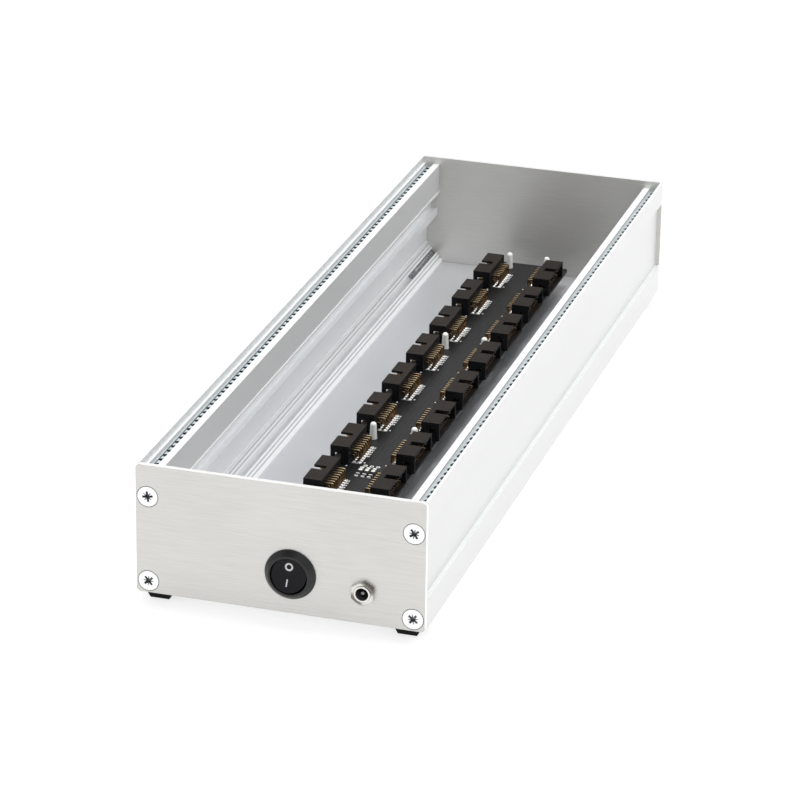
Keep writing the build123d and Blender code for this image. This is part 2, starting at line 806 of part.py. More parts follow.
with BuildPart() as jack_tags:
    with BuildSketch(jack_rear_plane.offset(-jack_tag_seat)):
        with Locations(*tag_places):
            Rectangle(jack_tag_thickness, jack_tag_width)
    extrude(amount=jack_tag_seat + jack_tag_length)
save(jack_tags, "jack_tags")
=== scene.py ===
import json
import math

import bmesh
import bpy
from mathutils import Matrix, Vector


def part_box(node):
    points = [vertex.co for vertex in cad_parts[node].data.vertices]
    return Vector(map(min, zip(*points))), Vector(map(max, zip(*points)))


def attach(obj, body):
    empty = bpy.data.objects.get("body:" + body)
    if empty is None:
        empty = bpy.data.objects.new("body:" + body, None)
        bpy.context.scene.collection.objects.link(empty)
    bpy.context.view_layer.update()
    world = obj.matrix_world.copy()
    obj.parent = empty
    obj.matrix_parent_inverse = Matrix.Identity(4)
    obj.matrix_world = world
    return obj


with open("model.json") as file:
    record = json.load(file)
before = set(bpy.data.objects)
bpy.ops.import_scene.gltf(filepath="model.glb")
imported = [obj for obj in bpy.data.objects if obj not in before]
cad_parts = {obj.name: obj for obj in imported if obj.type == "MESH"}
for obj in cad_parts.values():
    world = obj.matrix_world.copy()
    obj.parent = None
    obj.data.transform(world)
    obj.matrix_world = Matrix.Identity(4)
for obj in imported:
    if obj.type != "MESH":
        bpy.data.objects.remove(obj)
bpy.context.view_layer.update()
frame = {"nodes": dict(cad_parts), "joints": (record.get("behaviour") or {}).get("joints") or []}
scene = bpy.context.scene
scene.view_settings.view_transform = "Standard"
cad = frame["nodes"]
MM = 0.001


# Camera at the photograph's place, measured from the lower middle of the front end plate
plate_low, plate_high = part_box("front_end_plate")
front_y = plate_low.y
camera_data = bpy.data.cameras.new("camera")
camera_data.lens = 170.224
camera_data.sensor_width = 36
camera_data.clip_end = 100
camera = bpy.data.objects.new("camera", camera_data)
scene.collection.objects.link(camera)
azimuth, elevation, roll = (math.radians(a) for a in (16.7141, 22.7749, 0.85))
camera.matrix_world = (
    Matrix.Translation((0.4727172, front_y - 1.3973486, plate_low.z + 0.7190269))
    @ Matrix.Rotation(azimuth, 4, "Z")
    @ Matrix.Rotation(math.pi / 2 - elevation, 4, "X")
    @ Matrix.Rotation(roll, 4, "Z")
)
scene.camera = camera


# Node helpers
class Nodes:
    """A material's node tree with short calls for what the finishes share."""

    def __init__(self, name):
        self.material = bpy.data.materials.new(name)
        self.material.use_nodes = True
        self.tree = self.material.node_tree
        self.shader = self.tree.nodes["Principled BSDF"]
        self.coordinates = self.tree.nodes.new("ShaderNodeTexCoord").outputs["Object"]

    def add(self, kind, **inputs):
        node = self.tree.nodes.new(kind)
        for key, value in inputs.items():
            self.feed(node.inputs[key.replace("_", " ")], value)
        return node

    def feed(self, socket, value):
        if isinstance(value, bpy.types.NodeSocket):
            self.tree.links.new(value, socket)
        else:
            socket.default_value = value

    def stretched(self, scale):
        mapping = self.add("ShaderNodeMapping", Vector=self.coordinates)
        mapping.inputs["Scale"].default_value = scale
        return mapping.outputs[0]

    def noise(self, scale, detail=3.0, roughness=0.5):
        node = self.add("ShaderNodeTexNoise", Vector=self.stretched(scale))
        node.inputs["Scale"].default_value = 1.0
        node.inputs["Detail"].default_value = detail
        node.inputs["Roughness"].default_value = roughness
        return node.outputs[0]

    def mix(self, a, b, share):
        node = self.add("ShaderNodeMix")
        self.feed(node.inputs[0], share)
        self.feed(node.inputs[2], a)
        self.feed(node.inputs[3], b)
        return node.outputs[0]

    def blend(self, a, b, share):
        node = self.add("ShaderNodeMix")
        node.data_type = "RGBA"
        self.feed(node.inputs[0], share)
        self.feed(node.inputs[6], a)
        self.feed(node.inputs[7], b if isinstance(b, bpy.types.NodeSocket) else (*b, 1))
        return node.outputs[2]

    def place(self):
        node = self.add("ShaderNodeSeparateXYZ", Vector=self.coordinates)
        return node.outputs

    def facing(self):
        """The parts of the face's own direction along X, Y and Z."""
        node = self.add("ShaderNodeNewGeometry")
        return self.add("ShaderNodeSeparateXYZ", Vector=node.outputs["True Normal"]).outputs

    def math(self, kind, a, b=0.0):
        node = self.add("ShaderNodeMath")
        node.operation = kind
        self.feed(node.inputs[0], a)
        self.feed(node.inputs[1], b)
        return node.outputs[0]

    def ramp(self, value, low, high, start=0.3, end=0.7):
        node = self.add("ShaderNodeValToRGB", Fac=value)
        first, last = node.color_ramp.elements
        first.position, last.position = start, end
        first.color, last.color = (*low, 1), (*high, 1)
        return node.outputs[0]

    def span(self, value, low, high, start=0.3, end=0.7):
        node = self.add("ShaderNodeMapRange", Value=value)
        for socket, number in zip(node.inputs[1:5], (start, end, low, high)):
            socket.default_value = number
        return node.outputs[0]

    def rings(self, axis, pitch):
        """Fine thread lines along an axis, for the walls of threaded holes and screws."""
        node = self.add("ShaderNodeTexWave", Vector=self.coordinates)
        node.bands_direction = axis
        node.inputs["Scale"].default_value = 2 * math.pi / (20 * pitch)
        return node.outputs["Fac"]

    def bump(self, height, distance, strength=1.0, edge=0.0):
        node = self.add("ShaderNodeBump", Height=height)
        node.inputs["Distance"].default_value = distance
        node.inputs["Strength"].default_value = strength
        if edge:
            rounded = self.add("ShaderNodeBevel")
            rounded.samples = 6
            rounded.inputs["Radius"].default_value = edge
            self.feed(node.inputs["Normal"], rounded.outputs[0])
        self.feed(self.shader.inputs["Normal"], node.outputs[0])

    def set(self, **inputs):
        for key, value in inputs.items():
            self.feed(self.shader.inputs[key.replace("_", " ")], value)
        return self


def metal(
    name, low, high, grain, rough=(0.3, 0.42), bump=0.01, edge=0.2, metallic=1.0, masks=(), thread=None
):
    """Metal with a drawn or brushed grain along the axis whose grain number is small.

    Each mask gives a share of each point, worked out from its place, that takes the colour with it.
    A thread is its axis, pitch, depth and strength, and takes the place of the grain's relief."""
    n = Nodes(name)
    fine = n.noise(grain, 4.0)
    broad = n.noise((30, 30, 30), 2.0)
    both = n.mix(fine, broad, 0.3)
    colour = n.ramp(both, low, high)
    for mask, masked in masks:
        colour = n.blend(colour, masked, mask(n))
    n.set(Base_Color=colour, Metallic=metallic, Roughness=n.span(both, *rough))
    if thread:
        axis, pitch, depth, strength = thread
        n.bump(n.rings(axis, pitch * MM), depth * MM, strength, edge * MM)
    else:
        n.bump(fine, bump * MM, edge=edge * MM)
    return n


def plastic(
    name, low, high, rough=(0.4, 0.5), bump=0.01, edge=0.15, grain=2500, specular=0.5, masks=()
):
    """Moulded plastic with a fine spark texture, and masks as in metal."""
    n = Nodes(name)
    fine = n.noise((grain,) * 3, 2.0)
    broad = n.noise((60, 60, 60), 3.0)
    colour = n.ramp(n.mix(fine, broad, 0.6), low, high)
    for mask, masked in masks:
        colour = n.blend(colour, masked, mask(n))
    n.set(Base_Color=colour, Roughness=n.span(broad, *rough))
    n.shader.inputs["Specular IOR Level"].default_value = specular
    n.bump(fine, bump * MM, edge=edge * MM)
    return n


# Sizes and places that the masks use
PITCH, SLOT_HALF, SEAT_DEPTH = 5.08 * MM, 2.15 * MM, 3.75 * MM
CORNER_FACE, HEAD_WIDTH, HEAD_HEIGHT = 3.4 * MM, 9.9 * MM, 18.8 * MM
HEAD_RADIUS, RIM_WIDTH, OUTER_DEPTH = 4.65 * MM, 1.2 * MM, 2.4 * MM
BORE_RADIUS, LAMP_WIDTH, LAMP_LIT = 2.93 * MM, 2.3 * MM, 0.78 * MM
NEAR = 0.05 * MM
rail_low, rail_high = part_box("right_side_rail")
strip_low, strip_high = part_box("right_threaded_strip")
strip_x = (strip_low.x + strip_high.x) / 2
screw_low, screw_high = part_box("front_plate_screws")
screw_x, screw_z = screw_high.x - HEAD_RADIUS, screw_low.z + HEAD_RADIUS
rear_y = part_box("rear_end_plate")[1].y
jack_low, jack_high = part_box("jack_nut")
jack_middle = (jack_low + jack_high) / 2
lamp_low, lamp_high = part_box("indicator_lamps")
resistor_low, resistor_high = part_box("indicator_resistors")
board_low, board_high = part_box("bus_board")


def cut_edge_and_highlight(n):
    """The end plates' outer rim, where the cut metal is bright and a painted highlight lies on the edge
    faces: a share of 1 there and 0 elsewhere.
    """
    x, _, z = n.place()
    side = n.math("GREATER_THAN", n.math("ABSOLUTE", x), plate_high.x - RIM_WIDTH)
    rim = n.math("MAXIMUM", side, n.math("GREATER_THAN", z, plate_high.z - RIM_WIDTH))
    return n.math("MULTIPLY", rim, n.math("LESS_THAN", n.math("ABSOLUTE", n.facing()[1]), 0.75))


def shade_behind_face(face_y, inwards):
    """A mask of what lies deeper than an end plate's outer face, such as a screw's recess and shank, which
    the screws darken as painted shade.
    """

    def mask(n):
        depth = n.math("MULTIPLY", n.math("SUBTRACT", n.place()[1], face_y), inwards)
        return n.span(depth, 0, 1, 0.1 * MM, 0.35 * MM)

    return mask


def upright(n):
    """The faces that stand upright, such as the walls of holes, which the finishes darken as painted shade:
    a share of 1 there and 0 elsewhere.
    """
    return n.span(n.math("ABSOLUTE", n.facing()[2]), 1, 0, 0.3, 0.7)


def strip_shade(n):
    """Painted shade on the strips: dark patches round their holes, a dark band along the left strip's outer
    edge, and the upright walls of the holes.
    """
    x, y, _ = n.place()
    side = n.math("SIGN", x)
    across = n.math("SUBTRACT", x, n.math("MULTIPLY", side, strip_x))
    along = n.math("SUBTRACT", n.math("MODULO", n.math("SUBTRACT", y, rail_low.y), PITCH), PITCH / 2)
    reach = n.span(side, 0.95 * MM, 1.6 * MM, -1, 1)
    length = n.span(side, 1.45 * MM, 2.0 * MM, -1, 1)
    squares = [n.math("POWER", n.math("DIVIDE", a, b), 2) for a, b in ((across, reach), (along, length))]
    hole = n.span(n.math("ADD", *squares), 1, 0, 0.75, 1.1)
    from_wall = n.math("ABSOLUTE", n.math("ADD", x, strip_x + SLOT_HALF - 0.85 * MM))
    edge = n.span(from_wall, 0.9, 0, 0.2 * MM, 0.45 * MM)
    return n.math("MAXIMUM", n.math("MAXIMUM", hole, edge), upright(n))


def slot_shade(n):
    """Painted shade at the top of the right slot's inner wall, together with the painted shade of the corner
    grooves.
    """
    x, _, z = n.place()
    wall = n.math("ABSOLUTE", n.math("SUBTRACT", x, strip_x - SLOT_HALF))
    drop = n.math("ABSOLUTE", n.math("SUBTRACT", z, rail_high.z - SEAT_DEPTH))
    line = n.math("MULTIPLY", n.math("LESS_THAN", wall, NEAR), n.span(drop, 0.7, 0, 0.5 * MM, 0.7 * MM))
    return n.math("MAXIMUM", line, corner_groove_shade(n))


def corner_groove_shade(n):
    """Painted shade standing in for the fine grooves beside the slit of each lower screw port, by their
    depth under the slanted face.
    """
    x, _, z = n.place()
    out = n.math("SUBTRACT", n.math("ABSOLUTE", x), screw_x)
    rise = n.math("SUBTRACT", z, screw_z)
    depth = n.math("SUBTRACT", n.math("SUBTRACT", rise, out), CORNER_FACE * math.sqrt(2))
    along = n.math("ABSOLUTE", n.math("ADD", rise, out))
    under = n.math("LESS_THAN", depth, -0.06 * MM)
    deep = n.math("MULTIPLY", under, n.math("GREATER_THAN", depth, -0.9 * MM))
    return n.math("MULTIPLY", deep, n.math("MULTIPLY", n.math("LESS_THAN", along, 7.4 * MM), 0.4))


def rail_face_shade(n):
    """Painted shade on the rails' outer faces and the inner faces of their heads, a little darker than what
    is inside.
    """
    x, _, z = n.place()
    across = n.math("ABSOLUTE", x)
    outer = n.math("GREATER_THAN", across, rail_high.x - OUTER_DEPTH)
    from_head = n.math("ABSOLUTE", n.math("SUBTRACT", across, rail_high.x - HEAD_WIDTH))
    high = n.math("MULTIPLY", n.math("GREATER_THAN", z, rail_high.z - HEAD_HEIGHT), 0.77)
    head = n.math("MULTIPLY", n.math("LESS_THAN", from_head, NEAR), high)
    sideways = n.math("GREATER_THAN", n.math("ABSOLUTE", n.facing()[0]), 0.7)
    return n.math("MULTIPLY", sideways, n.math("MAXIMUM", outer, head))


def jack_bore_shade(n):
    """Painted shade in the jack's bore, by the distance from its axis."""
    x, _, z = n.place()
    offsets = n.math("SUBTRACT", x, jack_middle.x), n.math("SUBTRACT", z, jack_middle.z)
    squares = [n.math("POWER", offset, 2) for offset in offsets]
    return n.math("LESS_THAN", n.math("ADD", *squares), BORE_RADIUS**2)


def nut_painted_reflection(n):
    """Painted reflection: two opposite quarters of the nut, darkened as if they mirrored the dim
    surroundings.
    """
    x, _, z = n.place()
    offsets = n.math("SUBTRACT", x, jack_middle.x), n.math("SUBTRACT", z, jack_middle.z)
    product = n.math("MULTIPLY", *offsets)
    return n.span(product, 0, 0.85, -3 * MM**2, 5 * MM**2)


def lamp_side_shade(n):
    """Painted shade on the lamps' upright faces and along the edges of their tops."""
    from_first = n.math("SUBTRACT", n.place()[0], lamp_low.x)
    step = (lamp_high.x - lamp_low.x - LAMP_WIDTH) / 2
    across = n.math("SUBTRACT", n.math("MODULO", from_first, step), LAMP_WIDTH / 2)
    return n.math("MAXIMUM", n.math("GREATER_THAN", n.math("ABSOLUTE", across), LAMP_LIT), upright(n))


# The rails take painted shade along the top of the right slot's inner wall, in the corner grooves, and on
# their outer and head faces.
rail_finish = metal(
    "rail_finish", (0.90, 0.91, 0.92), (0.94, 0.95, 0.96), (3500, 12, 3500), (0.32, 0.38), 0.002, 0.12, 0.25,
    masks=((slot_shade, (0.10, 0.15, 0.17)), (rail_face_shade, (0.71, 0.712, 0.712))),
)
# The end plates take bright cut metal and a painted highlight along their rims.
plate_finish = metal(
    "plate_finish", (0.60, 0.59, 0.57), (0.70, 0.695, 0.675), (70, 900, 3200), (0.36, 0.46), 0.004, 0.2, 0.7,
    masks=((cut_edge_and_highlight, (0.93, 0.93, 0.925)),),
)
floor_finish = metal(
    "floor_finish", (0.66, 0.67, 0.69), (0.70, 0.71, 0.73), (2500, 12, 2500), (0.34, 0.40), 0.002, 0.1, 0.6
)
# The strips take painted shade round their holes, on the holes' walls and along the left strip's outer edge.
strip_finish = metal(
    "strip_finish", (0.62, 0.68, 0.70), (0.86, 0.92, 0.94), (400, 250, 400), (0.25, 0.38),
    edge=0.15, metallic=0.5, masks=((strip_shade, (0.035, 0.06, 0.07)),), thread=("Z", 0.45, 0.12, 0.8),
)
# The nut and washer take a painted reflection, dark on two opposite quarters.
nickel_finish = metal(
    "nickel_finish", (0.56, 0.55, 0.52), (0.72, 0.71, 0.68), (260, 260, 260), (0.06, 0.14), 0.004, 0.35,
    masks=((nut_painted_reflection, (0.10, 0.09, 0.07)),),
)
# The barrel's bore takes painted shade: dark, and not metallic.
barrel_finish = metal(
    "barrel_finish", (0.62, 0.61, 0.58), (0.78, 0.77, 0.74), (260, 260, 260), (0.12, 0.2), 0.004, 0.2,
    masks=((jack_bore_shade, (0.09, 0.09, 0.092)),),
)
barrel_finish.set(Metallic=barrel_finish.math("SUBTRACT", 1.0, jack_bore_shade(barrel_finish)))
pin_finish = metal(
    "pin_finish", (0.16, 0.155, 0.14), (0.30, 0.29, 0.265), (500, 500, 500), (0.25, 0.35), 0.004, 0.3
)
# The header pins take painted shade, a darker brown on their upright faces than on their tops.
contact_finish = metal(
    "contact_finish", (0.80, 0.60, 0.36), (0.95, 0.76, 0.52), (900, 1500, 900), (0.22, 0.36), 0.01, 0.1,
    masks=((upright, (0.33, 0.205, 0.09)),),
)
tin_finish = metal(
    "tin_finish", (0.72, 0.72, 0.71), (0.92, 0.92, 0.91), (900, 900, 900), (0.25, 0.4), 0.02, 0.08, 0.7
)
# Dark metal for the ticks on the front screws' heads, painted shade in place of their grooves.
tick_shade_finish = metal(
    "tick_shade_finish", (0.10, 0.10, 0.105), (0.18, 0.18, 0.185), (900, 900, 900), (0.4, 0.5), 0.01, 0.0
)
screw_finishes = []
# The screws take painted shade, darker in their cross recesses and along their shanks.
for side_name, face_y, inwards, dark in (("front", front_y, 1, 0.20), ("rear", rear_y, -1, 0.34)):
    screw_finishes.append(metal(
        f"{side_name}_screw_finish", (0.84, 0.85, 0.86), (0.96, 0.965, 0.97), (500, 500, 500), (0.2, 0.34),
        edge=0.1, metallic=0.85, masks=((shade_behind_face(face_y, inwards), (dark, dark + 0.005, dark + 0.015)),),
        thread=("Y", 0.8, 0.2, 0.7),
    ))

rubber_finish = plastic(
    "rubber_finish", (0.005, 0.005, 0.006), (0.012, 0.012, 0.013), (0.6, 0.75), 0.03, 0.3, 1500, 0.12
)
# The shrouds take painted shade, darker on their upright faces.
header_finish = plastic(
    "header_finish", (0.009, 0.007, 0.006), (0.028, 0.0215, 0.018), (0.5, 0.62), 0.02, 0.12, 2500, 0.14,
    masks=((upright, (0.006, 0.006, 0.007)),),
)
switch_finish = plastic(
    "switch_finish", (0.009, 0.009, 0.010), (0.017, 0.017, 0.018), (0.28, 0.36), 0.008, 0.15, 3000, 0.4
)
rocker_finish = plastic(
    "rocker_finish", (0.007, 0.007, 0.008), (0.016, 0.016, 0.019), (0.45, 0.55), 0.02, 0.25, 2500, 0.14
)
jack_plastic_finish = plastic("jack_plastic_finish", (0.012, 0.012, 0.012), (0.022, 0.022, 0.022))
terminal_finish = plastic("terminal_finish", (0.02, 0.055, 0.03), (0.03, 0.085, 0.045))
# The lamps take painted shade on their upright faces and along the edges of their tops.
lamp_finish = plastic(
    "lamp_finish", (0.88, 0.88, 0.84), (0.95, 0.95, 0.92), (0.3, 0.4),
    masks=((lamp_side_shade, (0.12, 0.12, 0.115)),),
)
nylon_finish = plastic("nylon_finish", (0.90, 0.90, 0.89), (0.96, 0.96, 0.95), (0.35, 0.45), 0.01, 0.15)
nylon_finish.set(Subsurface_Weight=0.15, Subsurface_Scale=1.0 * MM, Subsurface_Radius=(1, 1, 1))
ink_finish = plastic("ink_finish", (0.84, 0.84, 0.84), (0.93, 0.93, 0.93), (0.45, 0.6), 0.004, 0.0)
mark_finish = plastic("mark_finish", (0.58, 0.58, 0.58), (0.70, 0.70, 0.70), (0.45, 0.6), 0.004, 0.0)
resistor_finish = plastic("resistor_finish", (0.014, 0.014, 0.015), (0.024, 0.024, 0.026), (0.25, 0.35))

# Solder mask: near black, glossy, with faint tracks that run along the board
mask_finish = Nodes("mask_finish")
tracks = mask_finish.add("ShaderNodeTexWave", Vector=mask_finish.stretched((1, 0.02, 1)))
tracks.bands_direction = "X"
tracks.wave_profile = "SAW"
tracks.inputs["Scale"].default_value = 2 * math.pi / (20 * 2.54 * MM)
track_edges = mask_finish.span(tracks.outputs["Fac"], 0, 1, 0.42, 0.48)
grain = mask_finish.noise((900, 900, 900), 3.0)
blended = mask_finish.mix(grain, track_edges, 0.5)
mask_finish.set(
    Base_Color=mask_finish.ramp(blended, (0.007, 0.0075, 0.0085), (0.0105, 0.011, 0.012)),
    Roughness=mask_finish.span(grain, 0.32, 0.42),
)
mask_finish.shader.inputs["Specular IOR Level"].default_value = 0.22
mask_finish.bump(mask_finish.mix(track_edges, grain, 0.15), 0.03 * MM, 0.25)


FINISHES = {
    "left_side_rail": rail_finish,
    "right_side_rail": rail_finish,
    "floor_plate": floor_finish,
    "front_end_plate": plate_finish,
    "rear_end_plate": plate_finish,
    "left_threaded_strip": strip_finish,
    "right_threaded_strip": strip_finish,
    "front_plate_screws": screw_finishes[0],
    "rear_plate_screws": screw_finishes[1],
    "bus_board": mask_finish,
    "board_supports": nylon_finish,
    "indicator_lamps": lamp_finish,
    "indicator_resistors": resistor_finish,
    "input_terminal": terminal_finish,
    "switch_housing": switch_finish,
    "switch_tabs": tin_finish,
    "rocker": rocker_finish,
    "jack_barrel": barrel_finish,
    "jack_nut": nickel_finish,
    "jack_washer": nickel_finish,
    "jack_centre_pin": pin_finish,
    "jack_tags": tin_finish,
    "jack_body": jack_plastic_finish,
}
for name, node in cad.items():
    finish = FINISHES.get(name)
    if name.endswith("_foot"):
        finish = rubber_finish
    if "header_shroud" in name:
        finish = header_finish
    if "header_pins" in name:
        finish = contact_finish
    if not node.material_slots:
        node.data.materials.append(None)
    for place in node.material_slots:
        place.material = finish.material


# Added pieces
def piece(name, build, finish, body, smooth=False):
    """A mesh that build fills in, riding on a body and taking its finish from a slot."""
    mesh = bpy.data.meshes.new(name)
    form = bmesh.new()
    build(form)
    bmesh.ops.recalc_face_normals(form, faces=form.faces)
    for face in form.faces:
        face.smooth = smooth
    form.to_mesh(mesh)
    form.free()
    mesh.materials.append(finish.material)
    item = bpy.data.objects.new(name, mesh)
    scene.collection.objects.link(item)
    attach(item, body)
    return item


def bridge(form, first, second):
    """Faces between two closed loops of the same length."""
    count = len(first)
    for i in range(count):
        j = (i + 1) % count
        form.faces.new((first[i], first[j], second[j], second[i]))


def turned(form, centre, axis, side, profile, steps=12):
    """A turned form: profile is (radius, height) pairs along axis, closed at both ends."""
    across = axis.cross(side)
    loops = []
    for radius, height in profile:
        ring = []
        for i in range(steps):
            a = 2 * math.pi * i / steps
            offset = radius * (math.cos(a) * side + math.sin(a) * across)
            ring.append(form.verts.new(centre + offset + height * axis))
        loops.append(ring)
    for a, b in zip(loops, loops[1:]):
        bridge(form, a, b)
    form.faces.new(loops[0])
    form.faces.new(loops[-1])


def slab(form, corners, rise):
    """A thin flat form: corners around its underside, rise up to its top."""
    low = [form.verts.new(c) for c in corners]
    high = [form.verts.new(Vector(c) + rise) for c in corners]
    bridge(form, low, high)
    form.faces.new(low)
    form.faces.new(high)


# Marks on the rocker: a ring above and a bar below, printed on its dished face.
# Its upper half is pressed in at rest, and the joint's axis is its own left to right
joint = frame["joints"][0]
pivot = Vector(joint["pos_m"])
right = Vector(joint["axis"]).normalized()
tilt = -math.radians(10)
up = right.cross(Vector((0, 1, 0)))
out = Vector((0, -1, 0))
up, out = (
    math.cos(tilt) * up + math.sin(tilt) * out,
    math.cos(tilt) * out - math.sin(tilt) * up,
)
DISH_RADIUS, ROCKER_RADIUS, ROCKER_FRONT = 40 * MM, 7.9 * MM, 3.4 * MM
INK = 0.03 * MM


def on_dish(u, v, lift):
    """A point over the rocker's face, u to the right and v up from its middle."""
    height = ROCKER_FRONT - ROCKER_RADIUS**2 / (2 * DISH_RADIUS) + DISH_RADIUS
    height -= math.sqrt(DISH_RADIUS**2 - v**2)
    return pivot + u * right + v * up + (height + lift) * out


def ring_mark(form):
    loops = []
    for radius, lift in ((1.85, -INK), (1.85, INK), (1.07, INK), (1.07, -INK)):
        angles = [2 * math.pi * i / 48 for i in range(48)]
        points = [((radius * math.cos(a) - 0.4) * MM, (3.65 + radius * math.sin(a)) * MM) for a in angles]
        loops.append([form.verts.new(on_dish(u, v, lift)) for u, v in points])
    for a, b in zip(loops, loops[1:] + loops[:1]):
        bridge(form, a, b)


def bar_mark(form):
    rows = []
    for i in range(9):
        v = (-3.65 - 1.65 + 3.3 * i / 8) * MM
        sides = ((-0.7, -INK), (-0.7, INK), (-0.1, INK), (-0.1, -INK))
        rows.append([form.verts.new(on_dish(u * MM, v, lift)) for u, lift in sides])
    for a, b in zip(rows, rows[1:]):
        bridge(form, a, b)
    form.faces.new(rows[0])
    form.faces.new(rows[-1])


piece("rocker_ring_mark", ring_mark, mark_finish, "rocker")
piece("rocker_bar_mark", bar_mark, mark_finish, "rocker")

# Solder joints round every header pin, on both sides of the board
UP = Vector((0, 0, 1))
SIDE = Vector((1, 0, 0))
PIN_PITCH = 2.54 * MM
pin_rows = []
for number in range(1, 9):
    low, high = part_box(f"right_header_pins_{number}")
    middle = (low.y + high.y) / 2
    pin_rows += [middle + (i - 3.5) * PIN_PITCH for i in range(8)]
header_ys = [sum(pin_rows[i:i + 8]) / 8 for i in range(0, 64, 8)]


# Radius and height in mm of a joint above the board, and of one under it
TOP_JOINT = ((0.95, 0), (0.93, 0.04), (0.6, 0.16), (0.42, 0.5))
UNDER_JOINT = ((0.95, 0), (0.9, 0.08), (0.6, 0.4), (0.4, 0.95))
PIN_XS = (-10.34, -7.8, 7.8, 10.34)


def solder(form):
    for y in pin_rows:
        for x in PIN_XS:
            for height, axis, joint_form in ((board_high.z, UP, TOP_JOINT), (board_low.z, -UP, UNDER_JOINT)):
                profile = [(radius * MM, rise * MM) for radius, rise in joint_form]
                turned(form, Vector((x * MM, y, height)), axis, SIDE, profile)


piece("solder_joints", solder, tin_finish, "case", smooth=True)


# White print on the board: outlines, ticks and plain bars, no words
LINE, OUTLINE_INNER, OUTLINE_OUTER, OUTLINE_HALF = 0.3 * MM, 6.75 * MM, 11.2 * MM, 10.3 * MM
RING_PLACE, RING_OUTER, RING_INNER = 4.5 * MM, 0.95 * MM, 0.5 * MM


def print_on_board(form):
    z = board_high.z - 0.005 * MM
    rise = Vector((0, 0, 0.035 * MM))

    def stroke(x0, y0, x1, y1):
        x0, x1, y0, y1 = min(x0, x1), max(x0, x1), min(y0, y1), max(y0, y1)
        slab(form, [(x0, y0, z), (x1, y0, z), (x1, y1, z), (x0, y1, z)], rise)

    def ring(x, y, outer, inner):
        loops = []
        for radius, height in ((outer, z), (outer, z + rise.z), (inner, z + rise.z), (inner, z)):
            angles = [2 * math.pi * i / 24 for i in range(24)]
            points = [(x + radius * math.cos(a), y + radius * math.sin(a), height) for a in angles]
            loops.append([form.verts.new(point) for point in points])
        for first, second in zip(loops, loops[1:] + loops[:1]):
            bridge(form, first, second)

    for y in header_ys:
        for side in (-1, 1):
            inner, outer = side * OUTLINE_INNER, side * OUTLINE_OUTER
            stroke(inner - LINE / 2, y - OUTLINE_HALF, inner + LINE / 2, y + OUTLINE_HALF)
            for end in (-OUTLINE_HALF, OUTLINE_HALF):
                stroke(inner, y + end - LINE / 2, outer, y + end + LINE / 2)
            # Bars beside the pins of the rear half, and a tick beside the first pin
            for row in range(3, 8):
                bar_y = y + (row - 3.5) * PIN_PITCH
                stroke(side * 6.45 * MM, bar_y - 0.7 * MM, side * 6.0 * MM, bar_y + 0.5 * MM)
                stroke(side * 5.75 * MM, bar_y - 0.5 * MM, side * 5.3 * MM, bar_y + 0.7 * MM)
            corners = [(5.9, -8.9), (4.9, -8.3), (4.9, -9.5)]
            slab(form, [(side * u * MM, y + v * MM, z) for u, v in corners], rise)
            stroke(side * 12.6 * MM, y - 15.2 * MM, side * 12.0 * MM, y - 13.8 * MM)
    for i in range(3):
        x = lamp_low.x + LAMP_WIDTH / 2 + (lamp_high.x - lamp_low.x - LAMP_WIDTH) * i / 2
        ring(x, lamp_high.y + RING_PLACE, RING_OUTER, RING_INNER)


piece("board_print", print_on_board, ink_finish, "case")

# Slim ticks between the arms of the cross recess in each front screw's head, thin dark slabs of painted
# shade, corners in mm
SCREW_TURNS = (40, 52, 8, 35)
TICK = ((1.1, -0.3), (2.3, -0.16), (2.3, 0.16), (1.1, 0.3))
TICK_RISE = Vector((0, 0.02 * MM, 0))


def screw_ticks(form):
    xs, zs = (screw_low.x + HEAD_RADIUS, screw_x), (screw_z, screw_high.z - HEAD_RADIUS)
    places = [(x, z) for z in zs for x in xs]
    for (x, z), turn in zip(places, SCREW_TURNS):
        for arm in range(4):
            a = math.radians(turn + 45 + 90 * arm)
            along = Vector((math.cos(a), 0, math.sin(a)))
            across = Vector((-math.sin(a), 0, math.cos(a)))
            centre = Vector((x, front_y, z)) + TICK_RISE
            slab(form, [centre + u * MM * along + v * MM * across for u, v in TICK], -2 * TICK_RISE)


piece("front_plate_screws_ticks", screw_ticks, tick_shade_finish, "case")


# Pale ends on the resistors
RESISTOR_COUNT, RESISTOR_WIDTH, RESISTOR_END, SKIN = 3, 1.6 * MM, 0.55 * MM, 0.04 * MM


def resistor_ends(form):
    step = (resistor_high.x - resistor_low.x - RESISTOR_WIDTH) / (RESISTOR_COUNT - 1)
    low, high, base = resistor_low.y, resistor_high.y, board_high.z
    for i in range(RESISTOR_COUNT):
        x0 = resistor_low.x + i * step - SKIN
        x1 = x0 + RESISTOR_WIDTH + 2 * SKIN
        for y0, y1 in ((low - SKIN, low + RESISTOR_END), (high - RESISTOR_END, high + SKIN)):
            corners = [(x0, y0, base), (x1, y0, base), (x1, y1, base), (x0, y1, base)]
            slab(form, corners, Vector((0, 0, resistor_high.z - base + SKIN)))


piece("resistor_ends", resistor_ends, ink_finish, "case")


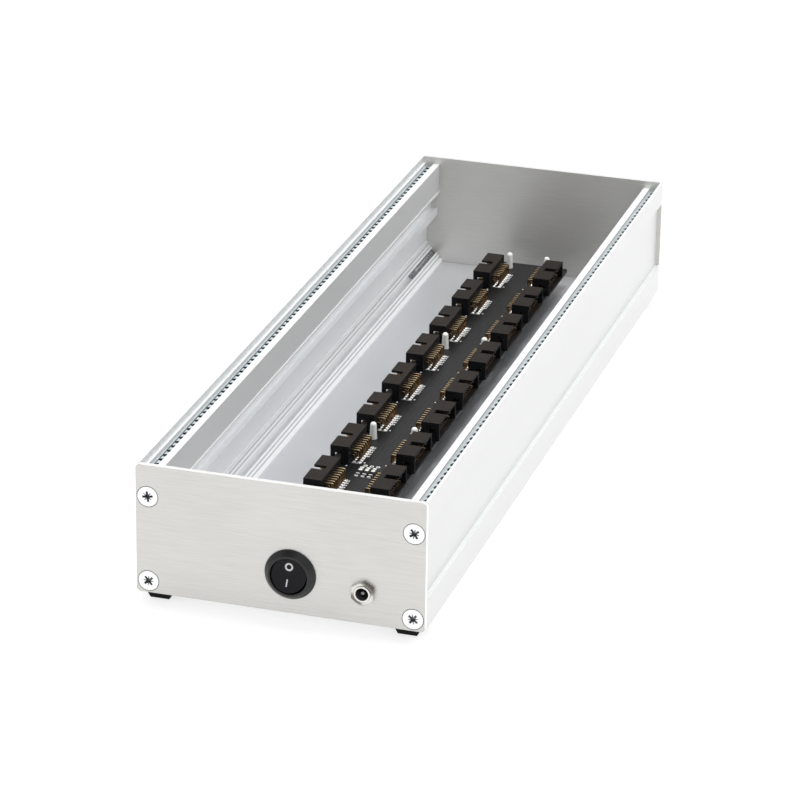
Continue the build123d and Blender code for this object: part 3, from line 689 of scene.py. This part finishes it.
# Floor, white to the eye, with the object's soft shadow
def floor_stage():
    mesh = bpy.data.meshes.new("stage_floor")
    size = 12
    corners = [(-size, -size, 0), (size, -size, 0), (size, size, 0), (-size, size, 0)]
    mesh.from_pydata(corners, [], [(0, 1, 2, 3)])
    item = bpy.data.objects.new("stage_floor", mesh)
    scene.collection.objects.link(item)
    material = bpy.data.materials.new("stage_white")
    material.use_nodes = True
    tree = material.node_tree
    tree.nodes.clear()
    new, link = tree.nodes.new, tree.links.new
    path = new("ShaderNodeLightPath")
    seen = new("ShaderNodeMath")
    seen.operation = "MAXIMUM"
    link(path.outputs["Is Camera Ray"], seen.inputs[0])
    link(path.outputs["Is Glossy Ray"], seen.inputs[1])
    seen_too = new("ShaderNodeMath")
    seen_too.operation = "MAXIMUM"
    link(seen.outputs[0], seen_too.inputs[0])
    link(path.outputs["Is Transmission Ray"], seen_too.inputs[1])
    plain = new("ShaderNodeBsdfDiffuse")
    plain.inputs["Color"].default_value = (0.8, 0.8, 0.8, 1)
    shaded = new("ShaderNodeBsdfDiffuse")
    shaded.inputs["Color"].default_value = (0.4, 0.4, 0.4, 1)
    glow = new("ShaderNodeEmission")
    glow.inputs["Strength"].default_value = 0.72
    both = new("ShaderNodeAddShader")
    link(shaded.outputs[0], both.inputs[0])
    link(glow.outputs[0], both.inputs[1])
    choose = new("ShaderNodeMixShader")
    link(seen_too.outputs[0], choose.inputs[0])
    link(plain.outputs[0], choose.inputs[1])
    link(both.outputs[0], choose.inputs[2])
    output = new("ShaderNodeOutputMaterial")
    link(choose.outputs[0], output.inputs["Surface"])
    mesh.materials.append(material)


floor_stage()


# World: white low down, a little greyer overhead, and dim in one patch above the front
world = bpy.data.worlds.new("world")
scene.world = world
world.use_nodes = True
tree = world.node_tree
background = tree.nodes["Background"]
coordinates = tree.nodes.new("ShaderNodeTexCoord")


def toward(direction, start, end, low, high):
    """A colour ramp by how near a direction of the sky is to the given one."""
    dot = tree.nodes.new("ShaderNodeVectorMath")
    dot.operation = "DOT_PRODUCT"
    tree.links.new(coordinates.outputs["Generated"], dot.inputs[0])
    dot.inputs[1].default_value = Vector(direction).normalized()
    ramp = tree.nodes.new("ShaderNodeValToRGB")
    ramp.color_ramp.interpolation = "EASE"
    first, last = ramp.color_ramp.elements
    first.position, last.position = start, end
    first.color, last.color = (*low, 1), (*high, 1)
    tree.links.new(dot.outputs["Value"], ramp.inputs[0])
    return ramp.outputs[0]


sky = toward((0, 0, 1), 0.4, 1.0, (1, 1, 1), (0.9, 0.9, 0.9))
patch = toward((-0.2, -0.5, 0.84), 0.84, 0.95, (1, 1, 1), (0.25, 0.25, 0.26))
product = tree.nodes.new("ShaderNodeMix")
product.data_type = "RGBA"
product.blend_type = "MULTIPLY"
product.inputs[0].default_value = 1.0
tree.links.new(sky, product.inputs[6])
tree.links.new(patch, product.inputs[7])
tree.links.new(product.outputs[2], background.inputs["Color"])
background.inputs["Strength"].default_value = 0.72


def lamp(name, place, target, size, power):
    data = bpy.data.lights.new(name, "AREA")
    data.shape = "RECTANGLE"
    data.size, data.size_y = size
    data.energy = power
    item = bpy.data.objects.new(name, data)
    scene.collection.objects.link(item)
    place, target = Vector(place), Vector(target)
    turn = (place - target).to_track_quat("Z", "Y").to_matrix().to_4x4()
    item.matrix_world = Matrix.Translation(place) @ turn


lamp("lamp_key", (-1.2, 0.7, 1.9), (0, 0, 0), (1.4, 1.0), 8)
lamp("lamp_top", (0.1, 0.2, 2.2), (0, 0.1, 0), (0.8, 0.8), 21.5)
lamp("lamp_side", (1.5, 0.3, 1.5), (0, 0.05, 0), (1.2, 1.0), 13)
lamp("lamp_front", (0.3, -1.9, 1.7), (0, 0.1, 0), (1.2, 1.0), 8)
